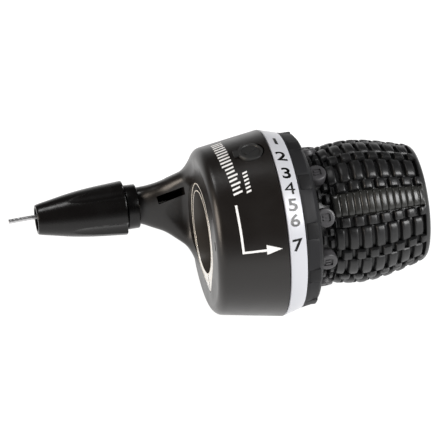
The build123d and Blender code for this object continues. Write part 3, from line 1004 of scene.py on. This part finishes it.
# ------------------------------------------------------------------------------------------------ grip
@dataclass
class RubberGrip:
    """The grip's rubber: a woven pattern of bars, and a groove where nine studs stand."""

    pitch: float = 1.845
    first_bar: float = 34.1
    bar_half: float = 1.5
    row_period: float = 30.0
    wide_middle: float = -6.0
    wide_half: float = 10.3
    narrow_half: float = 4.4
    relief: float = 1.95
    low_relief: float = 0.22
    studs: int = 9
    stud_gear: float = 2.3
    stud_x: float = 30.5
    # the low blocks between two studs: x, angle from their middle, half their angle, radius of their top
    blocks: tuple = (((29.2, 30.7), -0.5, 6.0, 18.35), ((31.1, 32.8), 4.0, 5.0, 18.3), ((31.1, 32.8), -6.8, 4.2, 18.3))
    # the outline the pattern reaches: x and radius
    envelope: Array = field(
        default_factory=lambda: np.array(
            [
                (33.2, 18.15),
                (34.8, 18.8),
                (36.5, 19.05),
                (38.1, 19.25),
                (39.8, 19.45),
                (43.1, 19.45),
                (46.4, 19.1),
                (49.6, 18.5),
                (52.9, 17.7),
                (56.2, 16.8),
                (57.9, 16.35),
                (59.3, 15.6),
            ]
        )
    )

    def bar(self, x: Array, odd: int, half: float | Array) -> Array:
        """Cross-section of the bars of one parity: 1 on their middles, 0 between them."""
        period = 2 * self.pitch
        off = np.mod(x - self.first_bar - odd * self.pitch + self.pitch, period) - self.pitch
        return np.sqrt(np.clip(1 - np.abs(off / half) ** 5, 0, 1))

    def across(self, gear: Array, middle: float, half: float, dip: float) -> Array:
        """Shape of one kind of row across the rows: 1 in its middle, less by the dip at its ends, 0 outside."""
        off = np.mod(gear - middle + self.row_period / 2, self.row_period) - self.row_period / 2
        share = np.abs(off / half)
        return np.clip(1 - share**8, 0, 1) ** (1 / 3) * (1 - dip * np.clip(share, 0, 1) ** 2)

    def surface(self, x: Array, gear: Array) -> Array:
        """The rubber's outer radius."""
        top = smooth_through(x, self.envelope[:, 0], self.envelope[:, 1])
        wide = self.across(gear, self.wide_middle, self.wide_half, 0.2)
        narrow = self.across(gear, self.wide_middle + self.row_period / 2, self.narrow_half, 0.05)
        polished = np.abs(np.mod(gear - self.wide_middle + 180, 360) - 180) < self.row_period / 2
        half = np.where(polished & (wide > 0), 1.1, self.bar_half)
        even = self.bar(x, 0, half) * np.where(wide > 0, wide, self.low_relief)
        odd = self.bar(x, 1, half) * np.where(wide > 0, np.where(polished, wide, self.low_relief * wide), narrow)
        woven = top - self.relief + self.relief * np.maximum(even, odd)
        share = smoothstep(33.0, 33.25, x) * (1 - smoothstep(58.1, 58.5, x))
        plain = np.where(x > 50, top - 0.05, top - self.relief)
        return plain * (1 - share) + woven * share

    def gear_samples(self) -> Array:
        """Angles round the grip, closer together at the rows' edges."""
        edge = np.array([-1.0, -0.975, -0.92, -0.8, -0.55, -0.2, 0.2, 0.55, 0.8, 0.92, 0.975, 1.0])
        wide = self.wide_middle + self.wide_half * edge
        narrow = self.wide_middle + self.row_period / 2 + self.narrow_half * edge[[0, 1, 3, 4, 5, 6, 7, 8, 10, 11]]
        gap = [wide[-1] + 0.12, narrow[0] - 0.12, narrow[-1] + 0.12, wide[0] + self.row_period - 0.12]
        one = np.sort(np.concatenate([wide, narrow, gap]))
        return np.concatenate([one + self.row_period * k for k in range(12)])

    def along_samples(self) -> Array:
        """Places along the grip, closer together at the bars' edges."""
        marks = [np.arange(33.0, 58.6, 0.23)]
        bars = self.first_bar + self.pitch * np.arange(-1, 15)
        for off in (self.bar_half, self.bar_half - 0.03, self.bar_half - 0.12, 0.9225, 0.98, 0.95):
            marks += [bars - off, bars + off]
        places = np.unique(np.round(np.concatenate(marks), 3))
        places = places[(places > 33.0) & (places < 58.6)]
        keep = np.concatenate([[True], np.diff(places) > 0.02])
        return places[keep]

    def sleeve(self) -> bpy.types.Object:
        """The sleeve as one closed ring of samples."""
        gear = self.gear_samples()
        along = self.along_samples()
        lead = np.array([(28.03, 20.85), (28.6, 20.5), (28.95, 19.9), (29.15, 18.2), (29.4, 16.6), (29.9, 16.3)])
        lead = np.vstack([lead, [(31.5, 16.3), (32.5, 16.3), (32.9, 16.9), (33.0, 17.0)]])
        tail = np.array([(58.9, 15.85), (59.4, 15.5), (59.75, 15.1), (59.88, 14.7), (59.88, 14.3), (58.02, 14.3)])
        tail = np.vstack([tail, [(58.02, 14.6), (55.2, 14.6), (55.1, 15.36), (29.9, 15.36), (29.8, 14.6), (28.03, 14.6)]])
        x = np.concatenate([lead[:, 0], along, tail[:, 0]])
        radius = np.empty((len(gear), len(x)))
        radius[:, : len(lead)] = lead[:, 1]
        radius[:, len(lead) : len(lead) + len(along)] = self.surface(along[None, :], gear[:, None])
        radius[:, len(lead) + len(along) :] = tail[:, 1]
        points = around(x[None, :], DIAL_SIDE + gear[:, None], radius)
        sleeve = add_object("grip_sleeve", points, grid_faces(len(gear), len(x), True, True))
        merge_and_orient(sleeve, 0.0005)
        return sleeve

    def stud(self, gear: float) -> bpy.types.Object:
        """A round stud with a raised rim and a recessed field that holds a plain bar."""
        outline = [(0.0, 16.0), (2.66, 16.0), (2.62, 18.5), (2.54, 18.78), (2.34, 18.93), (2.0, 18.97), (0.0, 18.97)]
        profile = np.array(outline)
        sides = 48
        turn = np.arange(sides) * 2 * math.pi / sides
        u, v = profile[None, :, 0] * np.cos(turn)[:, None], profile[None, :, 0] * np.sin(turn)[:, None]
        w = np.broadcast_to(profile[None, :, 1], u.shape)
        points = radial_points(np.stack([u, v, w], axis=-1), gear, self.stud_x)
        stud = add_object("stud", points, grid_faces(sides, len(profile), True, False))
        merge_and_orient(stud)
        field_corners = [(-1.3, -1.15, 0.45), (1.3, -1.15, 0.45), (1.3, 1.15, 0.45), (-1.3, 1.15, 0.45)]
        recess = prism_out("recess", rounded_path(field_corners, 4), 18.55, 19.5, gear, self.stud_x)
        cut_away(stud, [recess])
        plates = [box_cutter("bar", (-0.62, 0.62), (0.25, 0.7), (18.4, 18.9), gear, tilt=6)]
        plates += [box_cutter("bar", (-0.62, 0.62), (-0.7, -0.25), (18.4, 18.9), gear, tilt=6)]
        for plate in plates:
            plate.data.transform(offset_x(self.stud_x))
        join_into(stud, plates)
        return stud

    def block(self, x: tuple[float, float], gear: float, half: float, top: float) -> bpy.types.Object:
        """A low block of rubber in the groove."""
        steps = np.linspace(-1, 1, 7)
        rise = np.array([0.0, 0.75, 1.0, 1.0, 0.75, 0.0])
        along = np.array([x[0], x[0] + 0.12, x[0] + 0.45, x[1] - 0.45, x[1] - 0.12, x[1]])
        cap = (1 - np.abs(steps) ** 6)[:, None] * rise[None, :]
        radius = 16.2 + (top - 16.2) * cap
        outer = around(along[None, :], DIAL_SIDE + gear + steps[:, None] * half, radius)
        inner = around(along[None, :], DIAL_SIDE + gear + steps[:, None] * half, 16.0)
        rows, cols = len(steps), len(along)
        points = np.concatenate([outer.reshape(-1, 3), inner.reshape(-1, 3)])
        top_faces = grid_faces(rows, cols, False, False)
        rim = [(0, j) for j in range(cols - 1)] + [(i, cols - 1) for i in range(rows - 1)]
        rim += [(rows - 1, cols - 1 - j) for j in range(cols - 1)] + [(rows - 1 - i, 0) for i in range(rows - 1)]
        ring = [i * cols + j for i, j in rim]
        size = rows * cols
        faces = top_faces.tolist() + (top_faces[:, ::-1] + size).tolist()
        faces += [(p, q, q + size, p + size) for p, q in zip(ring, ring[1:] + ring[:1])]
        block = add_object("block", points, faces)
        merge_and_orient(block)
        return block

    def build(self) -> bpy.types.Object:
        """The sleeve, the studs and the blocks between them."""
        sleeve = self.sleeve()
        sleeve.data.materials.append(GRIP_RUBBER.material())
        sleeve.data.materials.append(WORN_GLOSSY_RUBBER_PAINTED_HIGHLIGHT.material())
        # faces of that row take the lighter material: a painted highlight over the worn, glossier rubber
        for face in sleeve.data.polygons:
            centre = face.center / MM
            gear = math.degrees(math.atan2(centre.z, centre.y)) - DIAL_SIDE
            off = (gear - self.wide_middle + 180) % 360 - 180
            face.material_index = int(abs(off) < self.wide_half + 0.5 and centre.x > 33.0)
        extras = []
        gap = 360 / self.studs
        for index in range(self.studs):
            gear = self.stud_gear + gap * index
            stud = dress(self.stud(gear), STUD_RUBBER.material())
            extras.append(stud)
            for span, off, half, top in self.blocks:
                block = self.block(span, gear + gap / 2 + off, half, top)
                extras.append(dress(block, GRIP_RUBBER.material()))
        join_into(sleeve, extras)
        sleeve.name = "grip_sleeve"
        sharpen(sleeve, 50)
        return sleeve


# ------------------------------------------------------------------------------------ adjuster and wire
@dataclass
class AdjusterKnob:
    """Hollow knob, barrel-shaped, with four wide flutes that fade out towards its tip."""

    tip: float = -42.1
    base: float = -17.7
    flutes: int = 4
    flute_phase: float = 12.6
    flute_radius: float = 4.0
    # the barrel's outline: x and radius
    outline: Array = field(
        default_factory=lambda: np.array(
            [
                (-42.1, 4.05),
                (-40.5, 4.42),
                (-38.8, 4.75),
                (-37.2, 5.08),
                (-35.5, 5.42),
                (-33.9, 5.74),
                (-32.2, 6.02),
                (-30.6, 6.27),
                (-27.3, 6.68),
                (-24.0, 6.99),
                (-20.7, 7.25),
                (-17.7, 7.48),
            ]
        )
    )

    def build(self) -> bpy.types.Object:
        """The knob as one closed ring of samples."""
        turn = np.arange(288) * 360.0 / 288
        x = np.concatenate([[self.tip + 0.02, self.tip + 0.1, self.tip + 0.3], np.arange(self.tip + 0.8, self.base - 0.6, 0.5)])
        x = np.concatenate([x, [self.base - 0.45, self.base - 0.25, self.base - 0.08, self.base - 0.02]])
        radius = smooth_through(x, self.outline[:, 0], self.outline[:, 1])
        phase = np.radians(np.mod(turn - self.flute_phase + 45, 90) - 45)
        middle = 9.9 + (x + 32.8) * 0.6 / 15.1
        side = middle[None, :] * np.sin(phase)[:, None]
        floor = middle[None, :] * np.cos(phase)[:, None] - np.sqrt(np.clip(self.flute_radius**2 - side**2, 0, None))
        fluted = np.where(np.abs(side) < self.flute_radius, np.minimum(radius[None, :], floor), radius[None, :])
        edge = np.zeros_like(x)
        edge[[0, 1]] = (0.2, 0.07)
        edge[[-3, -2, -1]] = (0.03, 0.12, 0.25)
        fluted = fluted - edge[None, :]
        inner = np.array([(-17.72, 5.4), (-25.0, 5.4), (-25.0, 3.6), (-27.25, 3.6), (-27.25, 3.9), (-38.9, 3.9)])
        inner = np.vstack([inner, [(-38.9, 3.2), (-41.95, 3.2), (-42.08, 3.35)]])
        all_x = np.concatenate([x, inner[:, 0]])
        all_r = np.concatenate([fluted, np.broadcast_to(inner[:, 1], (len(turn), len(inner)))], axis=1)
        points = around(all_x[None, :], turn[:, None], all_r) + np.array([0.0, ARM[1], ARM[2]])
        knob = add_object("knob", points, grid_faces(len(turn), len(all_x), True, True))
        merge_and_orient(knob)
        sharpen(knob, 24)
        return knob


def build_collar() -> bpy.types.Object:
    """The ring between the arm's neck and the knob."""
    corners = [(-17.4, 3.52, 0), (-14.12, 3.52, 0), (-14.12, 6.05, 0.35), (-17.4, 6.1, 0.3)]
    collar = lathe("collar", rounded_path(corners, 4), 96, np.array([0.0, ARM[1], ARM[2]]))
    sharpen(collar, 40)
    return collar


@dataclass
class InnerWire:
    """The stranded wire, whose bare end sticks out of the knob."""

    start: float = -49.7
    end: float = -3.0
    radius: float = 0.6
    strands: int = 7
    lay: float = 7.5

    def build(self) -> bpy.types.Object:
        """The wire with its strands twisted round it, bent a little near its end."""
        x = np.concatenate([[self.start, self.start], np.arange(self.start + 0.05, self.end, 0.3), [self.end, self.end]])
        turn = np.arange(56) * 2 * math.pi / 56
        twist = 2 * math.pi * x / self.lay
        wave = np.abs(np.sin(self.strands / 2 * (turn[:, None] - twist[None, :])))
        radius = self.radius * (0.84 + 0.16 * wave**0.5)
        radius[:, [0, -1]] = 0.0
        bend = 1.05 * smoothstep(-35.0, -42.5, x) - 0.3 * smoothstep(-43.0, -50.0, x)
        points = around(x[None, :], np.degrees(turn)[:, None], radius)
        points = points + np.array([0.0, ARM[1], ARM[2]])
        points[..., 2] += bend[None, :]
        wire = add_object("wire", points, grid_faces(len(turn), len(x), True, False))
        merge_and_orient(wire)
        return wire


# ------------------------------------------------------------------------------------------------ clamp
def build_clamp() -> bpy.types.Object:
    """The clamp with bevelled edges: bare metal where its face shows, dark inside, and pale rings on its edges that are
    painted highlights.
    """
    clamp = beveled_copy("clamp_band", "clamp_ring", 0.1)
    clamp.data.materials.append(CLAMP_ALLOY.material())
    clamp.data.materials.append(CLAMP_BORE_DARK.material())
    # faces from 0.34 mm behind the face take the darker colour
    for face in clamp.data.polygons:
        face.material_index = 0 if face.center.x < 0.34 * MM else 1
    # thin pale rings at the bore's edge and the rim's edge: painted highlights on the chamfers
    edges = [lathe("inner_edge_painted_highlight", np.array([(0.3, 11.21), (-0.03, 11.3), (-0.03, 11.52), (0.2, 11.52)]), 160)]
    edges.append(lathe("outer_edge_painted_highlight", np.array([(0.3, 13.2), (-0.03, 13.2), (-0.03, 13.42), (0.1, 13.5), (0.3, 13.5)]), 160))
    for edge in edges:
        dress(edge, CLAMP_EDGE_PAINTED_HIGHLIGHT.material())
    join_into(clamp, edges)
    return clamp


# ----------------------------------------------------------------------------------------------- studio
@dataclass
class Studio:
    """A white tent, one broad light high on the right, one on the left, a pale floor and the camera."""

    azimuth: float = -12.5
    elevation: float = 39.7
    distance: float = 0.9
    width: float = 0.1197
    target: tuple = (0.0057, 0.00141, 0.00165)
    floor_z: float = -0.0256

    def towards(self, azimuth: float, elevation: float) -> Vector:
        """The direction from the object towards an azimuth and an elevation, the camera's way of counting."""
        a, e = math.radians(azimuth), math.radians(elevation)
        return Vector((math.sin(a) * math.cos(e), -math.cos(a) * math.cos(e), math.sin(e)))

    def camera(self) -> None:
        """A long lens at the viewing angle."""
        data = bpy.data.cameras.new("camera")
        data.sensor_width = 36.0
        data.lens = 36.0 * self.distance / self.width
        data.clip_start = 0.01
        data.clip_end = 20.0
        camera = bpy.data.objects.new("camera", data)
        bpy.context.scene.collection.objects.link(camera)
        away = self.towards(self.azimuth, self.elevation)
        camera.location = Vector(self.target) + away * self.distance
        camera.rotation_euler = away.to_track_quat("Z", "Y").to_euler()
        bpy.context.scene.camera = camera

    def light(self, name: str, azimuth: float, elevation: float, size: tuple, power: float, warm: float) -> None:
        """A rectangular light that faces the object.

        Args:
            name: its name.
            azimuth: where it stands.
            elevation: how high it stands.
            size: its width and height in metres.
            power: its power in watts.
            warm: how far its colour leans from neutral to warm.
        """
        data = bpy.data.lights.new(name, "AREA")
        data.shape = "RECTANGLE"
        data.size, data.size_y = size
        data.energy = power
        data.color = (1.0, 1.0 - 0.5 * warm, 1.0 - warm)
        lamp = bpy.data.objects.new(name, data)
        bpy.context.scene.collection.objects.link(lamp)
        away = self.towards(azimuth, elevation)
        lamp.location = away * 0.6
        lamp.rotation_euler = away.to_track_quat("Z", "Y").to_euler()

    def world(self) -> None:
        """A tent, bright low down and dim overhead."""
        world = bpy.data.worlds.new("tent")
        world.use_nodes = True
        background = world.node_tree.nodes["Background"]
        background.inputs["Color"].default_value = (1.0, 1.0, 1.0, 1.0)
        tree = world.node_tree
        place = tree.nodes.new("ShaderNodeTexCoord")
        parts = tree.nodes.new("ShaderNodeSeparateXYZ")
        span = tree.nodes.new("ShaderNodeMapRange")
        span.inputs["From Min"].default_value = 0.0
        span.inputs["From Max"].default_value = 0.4
        span.inputs["To Min"].default_value = 0.55
        span.inputs["To Max"].default_value = 0.04
        tree.links.new(place.outputs["Generated"], parts.inputs["Vector"])
        tree.links.new(parts.outputs["Z"], span.inputs["Value"])
        tree.links.new(span.outputs["Result"], background.inputs["Strength"])
        bpy.context.scene.world = world

    def floor(self) -> None:
        """A pale floor that glows faintly, as a lit table does."""
        size = 6000.0
        corners = np.array([(-size, -size), (size, -size), (size, size), (-size, size)])
        points = np.column_stack([corners, np.full(4, self.floor_z / MM)])
        floor = add_object("floor", points, [(0, 1, 2, 3)], smooth=False)
        recipe = Recipe("floor_white")
        recipe.shader.inputs["Base Color"].default_value = (0.2, 0.2, 0.2, 1.0)
        recipe.shader.inputs["Roughness"].default_value = 0.9
        recipe.shader.inputs["Specular IOR Level"].default_value = 0.0
        recipe.shader.inputs["Emission Color"].default_value = (1.0, 1.0, 1.0, 1.0)
        recipe.shader.inputs["Emission Strength"].default_value = 0.97
        dress(floor, recipe.material)

    def build(self) -> None:
        """Set the studio up."""
        self.camera()
        self.world()
        self.floor()
        self.light("key", 55.0, 37.0, (0.24, 0.34), 3.6, 0.0)
        self.light("left", -80.0, 20.0, (0.30, 0.36), 2.7, 0.24)
        self.light("neck", -139.0, 62.0, (0.14, 0.14), 0.6, 0.0)
        bpy.context.scene.view_settings.view_transform = "Standard"


# ------------------------------------------------------------------------------------------------- main
PLAIN_NODES = {
    "base_tube": DRUM_PLASTIC,
    "clamp_bolt": STEEL,
    "clamp_nut": STEEL,
    "housing_screws": STEEL,
    "thrust_washer": STEEL,
    "index_spring": SPRING_STEEL,
    "end_retainer": STEEL,
    "cable_guide": GUIDE_PLASTIC,
    "cable_bend": STEEL,
    "adjuster_spring": SPRING_STEEL,
    "knob_clip": SPRING_STEEL,
    "cable_anchor_head": STEEL,
    "cable_wrap": STEEL,
    "adjuster_seat": SEAT_BRASS,
}


def place(thing: bpy.types.Object, finish: Finish | None, body: Body, node: str | None) -> None:
    """Give a piece its finish, its body and the CAD node it stands for.

    Args:
        thing: the piece.
        finish: its finish, or None where its materials are set already.
        body: the body it moves with.
        node: the CAD node it replaces, or None for ink.
    """
    if finish:
        dress(thing, finish.material())
    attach(thing, body.value)
    if node:
        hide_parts(node)
    LOG.info("%s: %d faces", thing.name, len(thing.data.polygons))


def main() -> None:
    """Build the pieces round the frame."""
    logging.basicConfig(level=logging.INFO, format="%(message)s")
    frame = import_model()
    Studio().build()
    shell = HousingShell()
    housing = shell.build()
    place(housing, HOUSING_PLASTIC, Body.HOUSING, "housing_shell")
    place(Print(shell).build(), WHITE_INK, Body.HOUSING, None)
    plug = PortPlug().build()
    place(plug, PLUG_RUBBER, Body.PLUG, "cable_port_plug")
    clamp = build_clamp()
    place(clamp, None, Body.HOUSING, "clamp_band")
    dial = DialRing()
    ring = dial.ring()
    place(ring, RING_PLASTIC, Body.GRIP, "indicator_ring")
    place(dial.numbers(), BLACK_INK, Body.GRIP, None)
    drum = beveled_copy("shift_drum", "drum", 0.16)
    place(drum, DRUM_PLASTIC, Body.GRIP, "shift_drum")
    keys = beveled_copy("grip_keys", "key_blocks", 0.16)
    place(keys, KEY_RUBBER, Body.GRIP, "grip_keys")
    grip = RubberGrip().build()
    place(grip, None, Body.GRIP, "rubber_grip")
    knob = AdjusterKnob().build()
    place(knob, KNOB_PLASTIC, Body.KNOB, "adjuster_knob")
    collar = build_collar()
    place(collar, KNOB_PLASTIC, Body.HOUSING, "adjuster_collar")
    wire = InnerWire().build()
    place(wire, STEEL, Body.CABLE, "cable_run")
    for name, finish in PLAIN_NODES.items():
        node = frame["nodes"][name]
        dress(node, finish.material())


if __name__ == "__main__":
    main()
